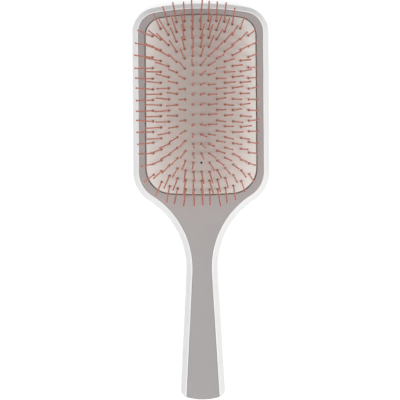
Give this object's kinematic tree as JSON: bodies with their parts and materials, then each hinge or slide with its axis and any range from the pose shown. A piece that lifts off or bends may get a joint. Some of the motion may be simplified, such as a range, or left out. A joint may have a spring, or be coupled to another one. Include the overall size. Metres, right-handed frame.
{
  "type": "paddle brush",
  "caption": "Flat paddle hair brush with a hollow bevelled body, a front plate, and a domed rubber pad on an air chamber that carries wire pins with ball tips.",
  "frame": {"origin": "centre of the overall box, on the plane the back rests on", "axes": "X across the head, +Y along the handle to the head's top, +Z from the back to the pin tips"},
  "size_m": [0.086, 0.25, 0.0447],
  "materials": {
    "body_white": "moulded white plastic, satin gloss",
    "plate_taupe": "fine matt taupe gray",
    "tray_gray": "plain moulded plastic, dark gray",
    "pad_rubber": "soft matt rubber, warm beige gray",
    "pin_copper": "rose copper plated steel wire with rounded tips"
  },
  "bodies": {
    "body": {"back_shell": "body_white", "front_plate": "plate_taupe", "pad_tray": "tray_gray"},
    "cushion": {"cushion": "pad_rubber"},
    "pin_column_01": {"pin_column_01": "pin_copper"},
    "pin_column_02": {"pin_column_02": "pin_copper"},
    "pin_column_03": {"pin_column_03": "pin_copper"},
    "pin_column_04": {"pin_column_04": "pin_copper"},
    "pin_column_05": {"pin_column_05": "pin_copper"},
    "pin_column_06": {"pin_column_06": "pin_copper"},
    "pin_column_07": {"pin_column_07": "pin_copper"},
    "pin_column_08": {"pin_column_08": "pin_copper"},
    "pin_column_09": {"pin_column_09": "pin_copper"},
    "pin_column_10": {"pin_column_10": "pin_copper"},
    "pin_column_11": {"pin_column_11": "pin_copper"},
    "pin_column_12": {"pin_column_12": "pin_copper"},
    "pin_column_13": {"pin_column_13": "pin_copper"}
  },
  "joints": [
    {"name": "cushion_press", "type": "slide", "parent": "body", "child": "cushion", "axis": [0, 0, 1], "range_m": [-0.0025, 0], "stiffness_N_per_m": 4000, "deforming": ["cushion"]},
    {"name": "pin_lean_01", "type": "hinge", "parent": "cushion", "child": "pin_column_01", "pos_m": [-0.03, 0.0603, 0.01556], "axis": [0, 1, 0], "range_deg": [-10, 10], "stiffness_Nm_per_rad": 0.3},
    {"name": "pin_lean_02", "type": "hinge", "parent": "cushion", "child": "pin_column_02", "pos_m": [-0.025, 0.0603, 0.01698], "axis": [0, 1, 0], "range_deg": [-10, 10], "stiffness_Nm_per_rad": 0.3},
    {"name": "pin_lean_03", "type": "hinge", "parent": "cushion", "child": "pin_column_03", "pos_m": [-0.02, 0.0603, 0.01796], "axis": [0, 1, 0], "range_deg": [-10, 10], "stiffness_Nm_per_rad": 0.3},
    {"name": "pin_lean_04", "type": "hinge", "parent": "cushion", "child": "pin_column_04", "pos_m": [-0.015, 0.0603, 0.01862], "axis": [0, 1, 0], "range_deg": [-10, 10], "stiffness_Nm_per_rad": 0.3},
    {"name": "pin_lean_05", "type": "hinge", "parent": "cushion", "child": "pin_column_05", "pos_m": [-0.01, 0.0603, 0.01905], "axis": [0, 1, 0], "range_deg": [-10, 10], "stiffness_Nm_per_rad": 0.3},
    {"name": "pin_lean_06", "type": "hinge", "parent": "cushion", "child": "pin_column_06", "pos_m": [-0.005, 0.0603, 0.01927], "axis": [0, 1, 0], "range_deg": [-10, 10], "stiffness_Nm_per_rad": 0.3},
    {"name": "pin_lean_07", "type": "hinge", "parent": "cushion", "child": "pin_column_07", "pos_m": [0, 0.0603, 0.01934], "axis": [0, 1, 0], "range_deg": [-10, 10], "stiffness_Nm_per_rad": 0.3},
    {"name": "pin_lean_08", "type": "hinge", "parent": "cushion", "child": "pin_column_08", "pos_m": [0.005, 0.0603, 0.01927], "axis": [0, 1, 0], "range_deg": [-10, 10], "stiffness_Nm_per_rad": 0.3},
    {"name": "pin_lean_09", "type": "hinge", "parent": "cushion", "child": "pin_column_09", "pos_m": [0.01, 0.0603, 0.01905], "axis": [0, 1, 0], "range_deg": [-10, 10], "stiffness_Nm_per_rad": 0.3},
    {"name": "pin_lean_10", "type": "hinge", "parent": "cushion", "child": "pin_column_10", "pos_m": [0.015, 0.0603, 0.01862], "axis": [0, 1, 0], "range_deg": [-10, 10], "stiffness_Nm_per_rad": 0.3},
    {"name": "pin_lean_11", "type": "hinge", "parent": "cushion", "child": "pin_column_11", "pos_m": [0.02, 0.0603, 0.01796], "axis": [0, 1, 0], "range_deg": [-10, 10], "stiffness_Nm_per_rad": 0.3},
    {"name": "pin_lean_12", "type": "hinge", "parent": "cushion", "child": "pin_column_12", "pos_m": [0.025, 0.0603, 0.01698], "axis": [0, 1, 0], "range_deg": [-10, 10], "stiffness_Nm_per_rad": 0.3},
    {"name": "pin_lean_13", "type": "hinge", "parent": "cushion", "child": "pin_column_13", "pos_m": [0.03, 0.0603, 0.01556], "axis": [0, 1, 0], "range_deg": [-10, 10], "stiffness_Nm_per_rad": 0.3}
  ],
  "couplings": [
    {"joint": "pin_lean_01", "follows": "pin_lean_07", "ratio": 1},
    {"joint": "pin_lean_02", "follows": "pin_lean_07", "ratio": 1},
    {"joint": "pin_lean_03", "follows": "pin_lean_07", "ratio": 1},
    {"joint": "pin_lean_04", "follows": "pin_lean_07", "ratio": 1},
    {"joint": "pin_lean_05", "follows": "pin_lean_07", "ratio": 1},
    {"joint": "pin_lean_06", "follows": "pin_lean_07", "ratio": 1},
    {"joint": "pin_lean_08", "follows": "pin_lean_07", "ratio": 1},
    {"joint": "pin_lean_09", "follows": "pin_lean_07", "ratio": 1},
    {"joint": "pin_lean_10", "follows": "pin_lean_07", "ratio": 1},
    {"joint": "pin_lean_11", "follows": "pin_lean_07", "ratio": 1},
    {"joint": "pin_lean_12", "follows": "pin_lean_07", "ratio": 1},
    {"joint": "pin_lean_13", "follows": "pin_lean_07", "ratio": 1}
  ]
}
